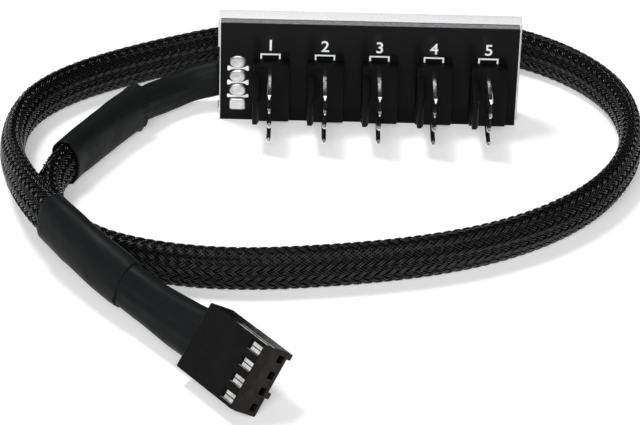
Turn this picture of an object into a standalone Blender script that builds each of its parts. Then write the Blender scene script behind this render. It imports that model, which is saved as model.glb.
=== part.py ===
"""A fan splitter cable, in metres, +Z up.

A small circuit board stands on its long edge, with five four-pin fan headers on its
front (-Y) and an adhesive foam pad on its back (+Y). Four wires leave the board's left
end in a shrink tube, run inside a braided sleeve in one wide loop behind the board and
end in a four-way plug. The wires lie one above the other, so the cord is an upright
oval, and it leans over to the plug. The origin is under the middle of the hub.
"""

import math

import bmesh
import bpy
import numpy as np
from mathutils import Matrix, Vector

MM = 0.001

# Running gap between pieces that seat on each other, and round a pin or a wire
seat_gap = 0.3 * MM
pin_clearance = 0.14 * MM
wire_clearance = 0.3 * MM

# Circuit board
board_length = 47.0 * MM
board_height = 17.3 * MM
board_thickness = 1.6 * MM

# Foam pad, a little proud of the board at both ends
foam_thickness = 2.9 * MM
foam_overhang = 0.3 * MM
foam_wall = 0.9 * MM

# Headers
header_count = 5
header_pitch = 8.55 * MM
first_header = 7.95 * MM
header_middle = 6.1 * MM
contact_count = 4
contact_pitch = 2.54 * MM
base_height = 10.0 * MM
base_depth = 2.4 * MM
base_left = 2.65 * MM
base_right = 3.05 * MM
base_chamfer = 0.25 * MM
wall_thickness = 1.0 * MM
wall_height = 5.0 * MM
wall_middle = 7.2 * MM
wall_reach = 9.7 * MM
wall_lead_in = 0.7 * MM
wall_lead_width = 0.3 * MM
wall_root = 0.5 * MM
pin_side = 0.64 * MM
pin_reach = 10.65 * MM
pin_point = 0.6 * MM
pin_point_share = 0.35
pin_tail = 1.3 * MM
solder_radius = 0.8 * MM
solder_slope = 0.45 * MM
solder_neck = 0.43 * MM
solder_top = 0.26 * MM

# Soldered wires at the board's left end
joint_inset = 2.9 * MM
joint_middle = 6.75 * MM
joint_width = 2.7 * MM
joint_height = 2.25 * MM
joint_rise = 0.4 * MM
square_joint_height = 2.1 * MM
square_joint = 5
joint_levels = [(1.0, 0.25), (0.8, 0.62), (0.4, 0.9), (0.0, 1.0)]
conductor_diameter = 0.7 * MM
wire_diameter = 1.25 * MM
wire_bend = 1.2 * MM
wire_points = 9

# Cord, from the board to the plug: its width across, and its height when it stands
sleeve_width = 3.8 * MM
sleeve_height = 7.0 * MM
hub_wire_shrink_width = 3.6 * MM
hub_wire_shrink_height = 6.0 * MM
hub_wire_shrink_length = 16.5 * MM
hub_sleeve_shrink_width = 4.6 * MM
hub_sleeve_shrink_height = 7.8 * MM
hub_sleeve_shrink_length = 20.0 * MM
plug_sleeve_shrink_width = 4.6 * MM
plug_sleeve_shrink_height = 7.6 * MM
plug_sleeve_shrink_length = 19.4 * MM
plug_wire_shrink_width = 4.3 * MM
plug_wire_shrink_height = 6.8 * MM
plug_wire_shrink_length = 16.1 * MM
plug_end_width = 4.1 * MM
plug_end_height = 7.9 * MM
shrink_lip = 0.3 * MM
shrink_sides = 20
shrink_roundness = 2.2
shrink_ring_spacing = 1.6 * MM
lean_length = 60 * MM
tube_point_spacing = 6.2 * MM
tube_end_lead = 0.8 * MM

# Plug
housing_length = 13.25 * MM
housing_width = 10.2 * MM
housing_thickness = 4.75 * MM
housing_edge = 0.15 * MM
nose_drop = 1.2 * MM
nose_length = 0.6 * MM
contact_drop = 1.1 * MM
entry_side = 1.15 * MM
entry_depth = 0.55 * MM
cavity_side = 1.9 * MM
cavity_rise = 2.55 * MM
window_width = 1.45 * MM
window_length = 2.6 * MM
window_start = 0.75 * MM
rib_width = 0.9 * MM
rib_height = 0.8 * MM
rib_length = 8.0 * MM
rib_space = 5.25 * MM
rib_space_middle = 1.42 * MM
plug_heading = math.radians(-52.3)
plug_roll = math.radians(54.3)
plug_front = (-15.7 * MM, -77.5 * MM)

# Terminals inside the plug
terminal_side = 1.18 * MM
terminal_sheet = 0.22 * MM
terminal_rise = 3.28 * MM
terminal_slot = 0.16 * MM
terminal_slope = 0.15 * MM
terminal_tall_length = 1.95 * MM
terminal_box_length = 2.2 * MM
terminal_strip_length = 1.4 * MM
terminal_strip_rise = 0.15 * MM
barrel_length = 2.2 * MM
barrel_height = 1.0 * MM

# Where the cord lies, from the board to the plug, in millimetres
route_mm = [
    (-23.3, 7.9, 4.95),
    (-27.9, 7.3, 3.85),
    (-31.6, 4.9, 3.35),
    (-35.6, 0.3, 3.95),
    (-40.3, -6.9, 4.0),
    (-43.6, -12.7, 4.0),
    (-46.4, -18.1, 4.0),
    (-47.9, -23.0, 3.7),
    (-47.9, -28.0, 3.6),
    (-46.6, -33.1, 3.6),
    (-43.6, -38.0, 3.6),
    (-38.9, -41.9, 3.6),
    (-32.4, -44.5, 3.6),
    (-20.5, -46.1, 3.6),
    (-7.5, -44.9, 3.6),
    (5.5, -42.2, 3.6),
    (18.0, -37.5, 3.6),
    (29.0, -29.9, 3.6),
    (37.4, -18.9, 3.6),
    (41.0, -5.2, 3.6),
    (39.0, 7.1, 3.6),
    (31.5, 17.4, 3.6),
    (20.0, 24.2, 3.6),
    (5.0, 27.1, 3.6),
    (-10.0, 25.4, 3.6),
    (-24.3, 20.2, 3.6),
    (-38.0, 13.2, 3.6),
    (-48.6, 5.2, 3.6),
    (-53.2, -1.8, 3.65),
    (-54.7, -9.2, 3.8),
    (-54.3, -18.9, 5.2),
    (-52.3, -27.9, 6.9),
    (-49.2, -35.8, 7.7),
    (-44.6, -43.2, 7.6),
    (-39.2, -50.0, 6.6),
    (-32.1, -57.9, 5.6),
    (-27.9, -62.6, 5.4),
]

# Sizes that follow from the ones above
board_front = (pin_reach - board_thickness - foam_thickness) / 2
board_left = -board_length / 2
joint_x = board_left + joint_inset
plug_lift = (housing_width * math.sin(plug_roll) + housing_thickness * math.cos(plug_roll)) / 2


def clear_scene():
    for obj in list(bpy.data.objects):
        bpy.data.objects.remove(obj, do_unlink=True)


def make_material(name, color, roughness, metallic=0.0):
    material = bpy.data.materials.new(name)
    material.use_nodes = True
    shader = material.node_tree.nodes["Principled BSDF"]
    shader.inputs["Base Color"].default_value = (*color, 1.0)
    shader.inputs["Roughness"].default_value = roughness
    shader.inputs["Metallic"].default_value = metallic
    material.diffuse_color = (*color, 1.0)
    return material


def make_materials():
    return {
        "board": make_material("solder_mask_black", (0.012, 0.013, 0.014), 0.25),
        "foam": make_material("foam_white", (0.80, 0.81, 0.83), 0.9),
        "housing": make_material("nylon_black", (0.012, 0.012, 0.013), 0.45),
        "tin": make_material("tin_plate", (0.62, 0.62, 0.60), 0.3, 1.0),
        "solder": make_material("solder", (0.75, 0.75, 0.74), 0.35, 1.0),
        "wire": make_material("wire_black", (0.02, 0.02, 0.02), 0.5),
        "shrink": make_material("shrink_tube", (0.02, 0.022, 0.022), 0.55),
        "sleeve": make_material("braided_sleeve", (0.012, 0.012, 0.013), 0.6),
    }


def add_empty(name, location, rotation=(0.0, 0.0, 0.0)):
    empty = bpy.data.objects.new(name, None)
    empty.empty_display_size = 5 * MM
    empty.location = location
    empty.rotation_euler = rotation
    bpy.context.scene.collection.objects.link(empty)
    return empty


def add_mesh(name, mesh, material, parent=None, location=(0.0, 0.0, 0.0), smooth=False):
    if material:
        mesh.materials.append(material)
    if smooth:
        mesh.shade_smooth()
        mesh.set_sharp_from_angle(angle=math.radians(40))
    obj = bpy.data.objects.new(name, mesh)
    obj.location = location
    obj.parent = parent
    bpy.context.scene.collection.objects.link(obj)
    return obj


def add_cutter(name, mesh, parent=None, location=(0.0, 0.0, 0.0)):
    cutter = add_mesh(name, mesh, None, parent, location)
    cutter.hide_render = True
    cutter.display_type = "WIRE"
    return cutter


def cut(obj, cutter):
    modifier = obj.modifiers.new("cut_" + cutter.name, "BOOLEAN")
    modifier.operation = "DIFFERENCE"
    modifier.solver = "EXACT"
    modifier.object = cutter


def mesh_from(bm, name):
    bmesh.ops.recalc_face_normals(bm, faces=bm.faces)
    mesh = bpy.data.meshes.new(name)
    bm.to_mesh(mesh)
    bm.free()
    return mesh


def add_box(bm, low, high):
    """One closed box between two corners."""
    low, high = Vector(low), Vector(high)
    size = high - low
    place = Matrix.Translation((low + high) / 2) @ Matrix.Diagonal((*size, 1.0))
    bmesh.ops.create_cube(bm, size=1.0, matrix=place)


def box_mesh(name, *boxes):
    bm = bmesh.new()
    for low, high in boxes:
        add_box(bm, low, high)
    return mesh_from(bm, name)


def loft_mesh(name, rings):
    """Closed skin over rings that have the same number of points, capped at both ends."""
    bm = bmesh.new()
    rows = [[bm.verts.new(point) for point in ring] for ring in rings]
    count = len(rows[0])
    for row, following in zip(rows, rows[1:]):
        for i in range(count):
            j = (i + 1) % count
            bm.faces.new((row[i], row[j], following[j], following[i]))
    bm.faces.new(rows[0][::-1])
    bm.faces.new(rows[-1])
    return mesh_from(bm, name)


def rounded_square(half_width, half_height, squareness, count):
    """Ring of (x, z) points: an ellipse at squareness 2, nearly a rectangle at 8."""
    ring = []
    for i in range(count):
        angle = 2 * math.pi * (i + 0.5) / count
        c, s = math.cos(angle), math.sin(angle)
        reach = (abs(c) ** squareness + abs(s) ** squareness) ** (-1 / squareness)
        ring.append((half_width * reach * c, half_height * reach * s))
    return ring


def header_places():
    return [board_left + first_header + i * header_pitch for i in range(header_count)]


def contact_offsets():
    """Places of the contacts in one row about its middle, the first one highest."""
    middle = (contact_count - 1) / 2
    return [(middle - i) * contact_pitch for i in range(contact_count)]


def make_board(hub, materials):
    """Plate with a drilled hole for every pin and wire."""
    board = add_mesh(
        "circuit_board",
        box_mesh(
            "circuit_board",
            ((board_left, 0, 0), (-board_left, board_thickness, board_height)),
        ),
        materials["board"],
        hub,
    )
    pin_hole = pin_side / math.sqrt(2) + pin_clearance
    wire_hole = conductor_diameter / 2 + wire_clearance
    drills = [
        (x, header_middle + z, pin_hole) for x in header_places() for z in contact_offsets()
    ]
    drills += [(joint_x, joint_middle + z, wire_hole) for z in contact_offsets()]
    bm = bmesh.new()
    for x, z, radius in drills:
        place = Matrix.Translation((x, board_thickness / 2, z)) @ Matrix.Rotation(math.pi / 2, 4, "X")
        bmesh.ops.create_cone(
            bm,
            cap_ends=True,
            segments=12,
            radius1=radius,
            radius2=radius,
            depth=2 * board_thickness,
            matrix=place,
        )
    cut(board, add_cutter("board_drills", mesh_from(bm, "board_drills"), hub))


def make_foam(hub, materials):
    """Pad with a pocket over each row of solder joints and a notch for the wires."""
    front = board_thickness + seat_gap
    back = board_thickness + foam_thickness
    side = board_length / 2 + foam_overhang
    foam = add_mesh(
        "foam_pad",
        box_mesh("foam_pad", ((-side, front, 0), (side, back, board_height))),
        materials["foam"],
        hub,
    )
    pocket_half = solder_radius + wire_clearance
    pocket_back = board_thickness + pin_tail + wire_clearance
    row_half = contact_offsets()[0] + pocket_half
    pockets = [
        (
            (x - pocket_half, front - seat_gap, header_middle - row_half),
            (x + pocket_half, pocket_back, header_middle + row_half),
        )
        for x in header_places()
    ]
    cut(foam, add_cutter("foam_pockets", box_mesh("foam_pockets", *pockets), hub))
    notch_top = joint_middle + contact_offsets()[0] + wire_diameter / 2 + foam_wall
    notch_right = joint_x + wire_diameter / 2 + foam_wall
    notch = box_mesh(
        "foam_notch",
        ((-side - foam_wall, front - seat_gap, foam_wall), (notch_right, back + foam_wall, notch_top)),
    )
    cut(foam, add_cutter("foam_notch", notch, hub))


def header_shell_mesh():
    """L-shaped moulding: a base round the four pins and a key wall along its left side."""
    left, right = -base_left, base_right
    inner = left + wall_thickness
    half = base_height / 2
    wall_low = wall_middle - header_middle - wall_height / 2
    wall_high = wall_low + wall_height
    back, front = -seat_gap, -base_depth

    bm = bmesh.new()
    block = [(left, back), (left, front), (right, front), (right, back)]
    corners = [bm.verts.new((x, y, -half)) for x, y in block]
    base = bm.faces.new(corners)
    rise = bmesh.ops.extrude_face_region(bm, geom=[base])
    top = [v for v in rise["geom"] if isinstance(v, bmesh.types.BMVert)]
    bmesh.ops.translate(bm, verts=top, vec=(0, 0, 2 * half))
    bmesh.ops.recalc_face_normals(bm, faces=bm.faces)
    upright = [e for e in bm.edges if abs(e.verts[0].co.z - e.verts[1].co.z) < MM * 0.01]
    upright = [e for e in upright if all(v.co.y < back - MM * 0.01 for v in e.verts)]
    bmesh.ops.bevel(bm, geom=upright, offset=base_chamfer, segments=1, affect="EDGES")
    base_mesh = mesh_from(bm, "header_base")

    root = front + wall_root
    tip = -wall_reach
    ramp = tip + wall_lead_in
    profile = [(left, root), (left, tip), (inner - wall_lead_width, tip), (inner, ramp), (inner, root)]
    rings = [[(x, y, z) for x, y in profile] for z in (wall_low, wall_high)]
    return base_mesh, loft_mesh("header_wall", rings)


def make_headers(hub, materials):
    base_mesh, wall_mesh = header_shell_mesh()
    hole = pin_side / 2 + pin_clearance
    holes = [
        ((-hole, -2 * base_depth, z - hole), (hole, base_depth, z + hole))
        for z in contact_offsets()
    ]
    hole_mesh = box_mesh("header_pin_holes", *holes)
    pin_mesh = header_pin_mesh()
    for i, x in enumerate(header_places()):
        name = f"header_shell_{i + 1}"
        place = (x, 0, header_middle)
        shell = add_mesh(name, base_mesh.copy(), materials["housing"], hub, place)
        wall = add_cutter(f"header_wall_{i + 1}", wall_mesh, hub, place)
        union = shell.modifiers.new("key_wall", "BOOLEAN")
        union.operation = "UNION"
        union.solver = "EXACT"
        union.object = wall
        cut(shell, add_cutter(f"header_holes_{i + 1}", hole_mesh, hub, place))
        for j, z in enumerate(contact_offsets()):
            pin = add_mesh(f"header_pin_{i + 1}_{j + 1}", pin_mesh, None, hub)
            pin.location = (x, 0, header_middle + z)
            if not pin_mesh.materials:
                pin_mesh.materials.append(materials["tin"])


def header_pin_mesh():
    """Square pin with a pointed tip, soldered behind the board."""
    half = pin_side / 2
    solder_start = board_thickness + seat_gap
    tail = board_thickness + pin_tail
    square, disc = 8, 2
    sections = [
        (-pin_reach, half * pin_point_share, square),
        (-pin_reach + pin_point, half, square),
        (solder_start, half, square),
        (solder_start, solder_radius, disc),
        (tail - solder_slope, solder_neck, disc),
        (tail, solder_top, disc),
    ]
    rings = [
        [(x, y, z) for x, z in rounded_square(size, size, squareness, 8)]
        for y, size, squareness in sections
    ]
    return loft_mesh("header_pin", rings)


def make_wire_joints(hub, materials):
    """Solder domes on the board's front, round on three pads and square on the lowest."""
    for i, z in enumerate(contact_offsets()):
        last = i == contact_count - 1
        squareness = square_joint if last else 2
        half_width = joint_width / 2
        half_height = (square_joint_height if last else joint_height) / 2
        core = conductor_diameter / 2
        rings = []
        for rise, share in joint_levels:
            y = -seat_gap - rise * joint_rise
            outline = rounded_square(half_width * share, half_height * share, squareness, 16)
            rings.append([(x, y, z0) for x, z0 in outline])
        rings += [
            [(x, y, z0) for x, z0 in rounded_square(core, core, 2, 16)]
            for y in (-seat_gap, board_thickness + seat_gap)
        ]
        mesh = loft_mesh(f"wire_joint_{i + 1}", rings)
        place = (joint_x, 0, joint_middle + z)
        add_mesh(f"wire_joint_{i + 1}", mesh, materials["solder"], hub, place, smooth=True)


class Route:
    """Smooth curve through the route's points, read by distance along it."""

    def __init__(self, points):
        points = np.array(points, dtype=float)
        steps = np.linalg.norm(np.diff(points, axis=0), axis=1)
        knots = np.concatenate([[0.0], np.cumsum(steps)])
        slopes = self.natural_slopes(knots, points)
        fine = []
        for i, step in enumerate(steps):
            t = np.linspace(0, 1, 40, endpoint=False)[:, None]
            fine.append(
                (2 * t**3 - 3 * t**2 + 1) * points[i]
                + (t**3 - 2 * t**2 + t) * step * slopes[i]
                + (3 * t**2 - 2 * t**3) * points[i + 1]
                + (t**3 - t**2) * step * slopes[i + 1]
            )
        self.points = np.concatenate([*fine, points[-1:]])
        lengths = np.linalg.norm(np.diff(self.points, axis=0), axis=1)
        self.distance = np.concatenate([[0.0], np.cumsum(lengths)])
        self.length = self.distance[-1]

    @staticmethod
    def natural_slopes(knots, points):
        """Slopes that make a natural cubic spline of the points."""
        count = len(points)
        steps = np.diff(knots)[:, None]
        rises = np.diff(points, axis=0) / steps
        matrix = np.zeros((count, count))
        right = np.zeros_like(points)
        for i in range(1, count - 1):
            before, after = steps[i - 1, 0], steps[i, 0]
            matrix[i, i - 1 : i + 2] = (after, 2 * (before + after), before)
            right[i] = 3 * (after * rises[i - 1] + before * rises[i])
        matrix[0, :2] = (2, 1)
        matrix[-1, -2:] = (1, 2)
        right[0], right[-1] = 3 * rises[0], 3 * rises[-1]
        return np.linalg.solve(matrix, right)

    def at(self, distance):
        return np.array([np.interp(distance, self.distance, self.points[:, k]) for k in range(3)])

    def heading(self, distance):
        reach = 0.5 * MM
        low, high = max(distance - reach, 0), min(distance + reach, self.length)
        ahead = self.at(high) - self.at(low)
        return ahead / np.linalg.norm(ahead)


def lean_at(route, distance):
    """How far the cord leans from upright, about its own line: none until it nears the plug."""
    share = np.clip((distance - route.length + lean_length) / lean_length, 0, 1)
    return share * (math.pi / 2 - plug_roll)


def tube_on(name, points, leans, width, height, material):
    """Plain tube along the points, closed at both ends and taller than it is wide."""
    curve = bpy.data.curves.new(name, "CURVE")
    curve.dimensions = "3D"
    curve.twist_mode = "Z_UP"
    spline = curve.splines.new("POLY")
    spline.points.add(len(points) - 1)
    for point, place, lean in zip(spline.points, points, leans):
        point.co = (*place, 1.0)
        point.tilt = lean
    curve.bevel_depth = width / 2
    curve.bevel_resolution = 2
    curve.extrude = (height - width) / 2
    curve.use_fill_caps = True
    curve.materials.append(material)
    obj = bpy.data.objects.new(name, curve)
    bpy.context.scene.collection.objects.link(obj)
    return obj


def shrink_on(name, route, start, end, sections, material):
    """Shrink tube along the route. Each section is (share of the way, width, height)."""
    shares = [section[0] for section in sections]
    length = end - start
    count = max(4, round(length / shrink_ring_spacing))
    places = [start, start + shrink_lip]
    places += [start + length * i / count for i in range(1, count)]
    places += [end - shrink_lip, end]
    rings = []
    for distance in places:
        share = (distance - start) / length
        width = np.interp(share, shares, [section[1] for section in sections])
        height = np.interp(share, shares, [section[2] for section in sections])
        at_lip = distance in (start, end)
        inset = shrink_lip if at_lip else 0.0
        ahead = Vector(route.heading(distance))
        across = Vector((0, 0, 1)).cross(ahead).normalized()
        across.rotate(Matrix.Rotation(-lean_at(route, distance), 3, ahead))
        upward = ahead.cross(across)
        middle = Vector(route.at(distance))
        outline = rounded_square(width / 2 - inset, height / 2 - inset, shrink_roundness, shrink_sides)
        rings.append([middle + across * x + upward * z for x, z in outline])
    return add_mesh(name, loft_mesh(name, rings), material, smooth=True)


def make_cord(materials):
    """Sleeve and shrink tubes end to end along one route, up to the plug's rear face."""
    ahead = np.array([math.cos(plug_heading), math.sin(plug_heading), 0.0])
    rear = np.array([*plug_front, plug_lift]) - ahead * (housing_length + seat_gap)
    route = Route([*(np.array(route_mm) * MM), rear])
    lengths = [
        ("hub_wire_shrink", hub_wire_shrink_length),
        ("hub_sleeve_shrink", hub_sleeve_shrink_length),
        ("braided_sleeve", None),
        ("plug_sleeve_shrink", plug_sleeve_shrink_length),
        ("plug_wire_shrink", plug_wire_shrink_length),
    ]
    shrinks = sum(length for _, length in lengths if length)
    spare = route.length - shrinks - seat_gap * (len(lengths) - 1)
    spans = {}
    start = 0.0
    for name, length in lengths:
        end = start + (length or spare)
        spans[name] = (start, end)
        start = end + seat_gap

    hub_wires = (hub_wire_shrink_width, hub_wire_shrink_height)
    hub_sleeve = (hub_sleeve_shrink_width, hub_sleeve_shrink_height)
    plug_sleeve = (plug_sleeve_shrink_width, plug_sleeve_shrink_height)
    plug_wires = (plug_wire_shrink_width, plug_wire_shrink_height)
    step = [(a + b) / 2 for a, b in zip(plug_sleeve, plug_wires)]
    shapes = {
        "hub_wire_shrink": [(0.0, *hub_wires), (1.0, *hub_wires)],
        "hub_sleeve_shrink": [(0.0, *hub_sleeve), (1.0, *hub_sleeve)],
        "plug_sleeve_shrink": [(0.0, *plug_sleeve), (0.8, *plug_sleeve), (1.0, *step)],
        "plug_wire_shrink": [
            (0.0, *plug_wires),
            (0.35, *plug_wires),
            (1.0, plug_end_width, plug_end_height),
        ],
    }
    for name, sections in shapes.items():
        start, end = spans[name]
        shrink_on(name, route, start, end, sections, materials["shrink"])
    start, end = spans["braided_sleeve"]
    lead = tube_end_lead
    count = int((end - start) / tube_point_spacing)
    places = [start, *np.linspace(start + lead, end - lead, count), end]
    points = [route.at(distance) for distance in places]
    leans = [lean_at(route, distance) for distance in places]
    tube_on("braided_sleeve", points, leans, sleeve_width, sleeve_height, materials["sleeve"])
    make_hub_wires(route, materials)


def make_hub_wires(route, materials):
    """Wires from the solder joints, gathered in an upright row at the first shrink tube's end."""
    ahead = route.heading(0.0)
    face = route.at(0.0) - ahead * seat_gap
    across = np.cross([0.0, 0.0, 1.0], ahead)
    upward = np.cross(ahead, across / np.linalg.norm(across))
    reach = wire_bend * Vector((0, 1, 0))
    gather = (wire_diameter + wire_clearance) / contact_pitch
    for i, z in enumerate(contact_offsets()):
        start = np.array([joint_x, board_front + board_thickness + 2 * seat_gap, joint_middle + z])
        end = face + upward * z * gather
        first = start + np.array(reach)
        last = end - ahead * wire_bend
        wire_route = [
            (1 - t) ** 3 * start + 3 * t * (1 - t) ** 2 * first + 3 * t**2 * (1 - t) * last + t**3 * end
            for t in np.linspace(0, 1, wire_points)
        ]
        leans = [0.0] * wire_points
        tube_on(f"hub_wire_{i + 1}", wire_route, leans, wire_diameter, wire_diameter, materials["wire"])


def housing_mesh():
    """Outer form of the plug, its front at x = 0 and its windows facing +Z."""
    half_width, half_thickness = housing_width / 2, housing_thickness / 2
    nose_top = half_thickness - nose_drop
    sections = [
        (-housing_length, half_thickness),
        (-nose_length, half_thickness),
        (0.0, nose_top),
    ]
    rings = [
        [
            (x, -half_width, -half_thickness),
            (x, half_width, -half_thickness),
            (x, half_width, top),
            (x, -half_width, top),
        ]
        for x, top in sections
    ]
    return loft_mesh("plug_housing", rings)


def rib_boxes():
    """Two ribs under the plug, which straddle a header's key wall."""
    low = -housing_thickness / 2 - rib_height
    high = -housing_thickness / 2 + rib_height
    boxes = []
    for side in (-1, 1):
        middle = rib_space_middle + side * (rib_space + rib_width) / 2
        boxes.append(
            (
                (-rib_length, middle - rib_width / 2, low),
                (-housing_edge, middle + rib_width / 2, high),
            )
        )
    return boxes


def make_plug(materials):
    plug = add_empty("plug_frame", (*plug_front, plug_lift), (plug_roll, 0.0, plug_heading))
    housing = add_mesh("plug_housing", housing_mesh(), materials["housing"], plug)
    edges = housing.modifiers.new("edges", "BEVEL")
    edges.width = housing_edge
    edges.segments = 2
    ribs = add_cutter("plug_ribs", box_mesh("plug_ribs", *rib_boxes()), plug)
    join = housing.modifiers.new("ribs", "BOOLEAN")
    join.operation = "UNION"
    join.solver = "EXACT"
    join.object = ribs
    entry, cavity = entry_side / 2, cavity_side / 2
    low, high = -contact_drop - cavity, -contact_drop + cavity_rise
    entries, cavities, windows = [], [], []
    for y in contact_offsets():
        entries.append(
            ((-2 * entry_depth, y - entry, -contact_drop - entry), (entry_depth, y + entry, -contact_drop + entry))
        )
        cavities.append(
            (
                (-housing_length - entry_depth, y - cavity, low),
                (-entry_depth, y + cavity, high),
            )
        )
        windows.append(
            (
                (-window_start - window_length, y - window_width / 2, 0.0),
                (-window_start, y + window_width / 2, housing_thickness),
            )
        )
    for name, boxes in (("plug_entries", entries), ("plug_cavities", cavities), ("plug_windows", windows)):
        cut(housing, add_cutter(name, box_mesh(name, *boxes), plug))
    make_terminals(plug, materials)


def make_terminals(plug, materials):
    """Sheet-metal contacts, each crimped to its wire inside the plug."""
    terminal_mesh = terminal_body()
    terminal_mesh.materials.append(materials["tin"])
    strip = terminal_box_length + terminal_strip_length + barrel_length
    barrel_end = -entry_depth - wire_clearance - terminal_tall_length - strip
    wire_end = -housing_length
    for i, y in enumerate(contact_offsets()):
        place = (0, y, -contact_drop)
        add_mesh(f"plug_terminal_{i + 1}", terminal_mesh, None, plug, place)
        bm = bmesh.new()
        length = barrel_end - seat_gap - wire_end
        turn = Matrix.Translation((wire_end + length / 2, 0, 0)) @ Matrix.Rotation(math.pi / 2, 4, "Y")
        bmesh.ops.create_cone(
            bm,
            cap_ends=True,
            segments=12,
            radius1=wire_diameter / 2,
            radius2=wire_diameter / 2,
            depth=length,
            matrix=turn,
        )
        wire = mesh_from(bm, f"plug_wire_{i + 1}")
        add_mesh(f"plug_wire_{i + 1}", wire, materials["wire"], plug, place, smooth=True)


def terminal_body():
    """A sheet folded into an open box for the pin, with a strip back to a U-shaped barrel."""
    half = terminal_side / 2
    sheet = terminal_sheet
    front = -entry_depth - wire_clearance
    tall_end = front - terminal_tall_length
    box_end = tall_end - terminal_box_length
    strip_end = box_end - terminal_strip_length
    end = strip_end - barrel_length
    fold = half - sheet - terminal_slot / 2

    def ring(x, top, turn):
        """Section of the folded sheet: floor, two walls up to the given top, turned-in tops."""
        inner = half - sheet
        under = top - sheet * bool(turn)
        return [
            (x, -half, -half),
            (x, half, -half),
            (x, half, top),
            (x, inner - turn, top),
            (x, inner - turn, under - terminal_slope / 3),
            (x, inner, under - terminal_slope),
            (x, inner, -half + sheet),
            (x, -inner, -half + sheet),
            (x, -inner, under - terminal_slope),
            (x, -inner + turn, under - terminal_slope / 3),
            (x, -inner + turn, top),
            (x, -half, top),
        ]

    strip_top = -half + sheet + 2 * terminal_strip_rise
    rings = [
        ring(front, terminal_rise, fold),
        ring(tall_end, terminal_rise, fold),
        ring(tall_end - sheet, half, fold),
        ring(box_end, half, fold),
        ring(box_end - sheet, strip_top, 0.0),
        ring(strip_end, strip_top, 0.0),
        ring(strip_end - sheet, -half + barrel_height, 0.0),
        ring(end, -half + barrel_height, 0.0),
    ]
    return loft_mesh("plug_terminal", rings[::-1])


def main():
    clear_scene()
    materials = make_materials()
    hub = add_empty("hub_frame", (0.0, board_front, 0.0))
    make_board(hub, materials)
    make_foam(hub, materials)
    make_headers(hub, materials)
    make_wire_joints(hub, materials)
    make_cord(materials)
    make_plug(materials)


main()
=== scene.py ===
import math

import bmesh
import bpy
import numpy as np
from mathutils import Matrix, Vector, noise


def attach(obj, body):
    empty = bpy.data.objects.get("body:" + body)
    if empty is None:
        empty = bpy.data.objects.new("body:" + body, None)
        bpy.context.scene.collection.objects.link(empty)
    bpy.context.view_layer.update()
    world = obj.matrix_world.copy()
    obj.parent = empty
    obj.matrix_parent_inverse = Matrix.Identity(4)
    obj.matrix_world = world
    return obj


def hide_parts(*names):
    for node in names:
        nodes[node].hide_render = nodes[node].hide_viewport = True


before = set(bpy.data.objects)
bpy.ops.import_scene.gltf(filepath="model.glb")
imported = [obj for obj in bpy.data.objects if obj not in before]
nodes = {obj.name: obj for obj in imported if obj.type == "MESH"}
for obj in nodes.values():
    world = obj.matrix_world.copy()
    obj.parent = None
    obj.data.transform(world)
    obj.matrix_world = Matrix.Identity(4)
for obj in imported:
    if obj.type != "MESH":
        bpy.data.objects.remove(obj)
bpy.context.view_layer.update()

mm = 0.001


# small helpers for node trees

def plug(tree, value, socket):
    # a socket is linked, anything else is typed into it
    if isinstance(value, bpy.types.NodeSocket):
        tree.links.new(value, socket)
    elif socket.type == "RGBA":
        socket.default_value = (*value, 1)
    else:
        socket.default_value = value


def addNode(tree, kind, inputs=None, **settings):
    node = tree.nodes.new(kind)
    for key, value in settings.items():
        setattr(node, key, value)
    for label, value in (inputs or {}).items():
        plug(tree, value, node.inputs[label])
    return node


def newMaterial(name):
    # the last item is the object coordinates, which every pattern reads
    material = bpy.data.materials.new(name)
    material.use_nodes = True
    tree = material.node_tree
    place = addNode(tree, "ShaderNodeTexCoord").outputs["Object"]
    return material, tree, tree.nodes["Principled BSDF"], place


def sums(tree, operation, *values):
    inputs = dict(enumerate(values))
    return addNode(tree, "ShaderNodeMath", inputs, operation=operation).outputs[0]


def product(tree, first, *others):
    for value in others:
        first = sums(tree, "MULTIPLY", first, value)
    return first


def vectors(tree, operation, *values):
    node = addNode(tree, "ShaderNodeVectorMath", dict(enumerate(values)), operation=operation)
    return node.outputs["Value" if operation in ("DOT_PRODUCT", "LENGTH") else "Vector"]


def scaled(tree, vector, factor):
    inputs = {0: vector, "Scale": factor}
    return addNode(tree, "ShaderNodeVectorMath", inputs, operation="SCALE").outputs[0]


def parts(tree, vector):
    return addNode(tree, "ShaderNodeSeparateXYZ", {0: vector}).outputs


def noiseAt(tree, vector, scale, detail=3.0, roughness=0.5, phase=None):
    inputs = {"Vector": vector, "Scale": scale, "Detail": detail, "Roughness": roughness}
    if phase is None:
        return addNode(tree, "ShaderNodeTexNoise", inputs).outputs[0]
    inputs["W"] = phase
    return addNode(tree, "ShaderNodeTexNoise", inputs, noise_dimensions="4D").outputs[0]


def between(tree, value, fromLow, fromHigh, toLow, toHigh):
    inputs = dict(enumerate((value, fromLow, fromHigh, toLow, toHigh)))
    return addNode(tree, "ShaderNodeMapRange", inputs).outputs[0]


def mixColor(tree, factor, a, b):
    inputs = {0: factor, 6: a, 7: b}
    return addNode(tree, "ShaderNodeMix", inputs, data_type="RGBA").outputs[2]


def paint(tree, shader, color, roughness, specular=None):
    plug(tree, color, shader.inputs["Base Color"])
    plug(tree, roughness, shader.inputs["Roughness"])
    if specular is not None:
        shader.inputs["Specular IOR Level"].default_value = specular


def bumped(tree, shader, height, strength, distance):
    inputs = {"Height": height, "Strength": strength, "Distance": distance}
    bump = addNode(tree, "ShaderNodeBump", inputs)
    tree.links.new(bump.outputs[0], shader.inputs["Normal"])


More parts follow.
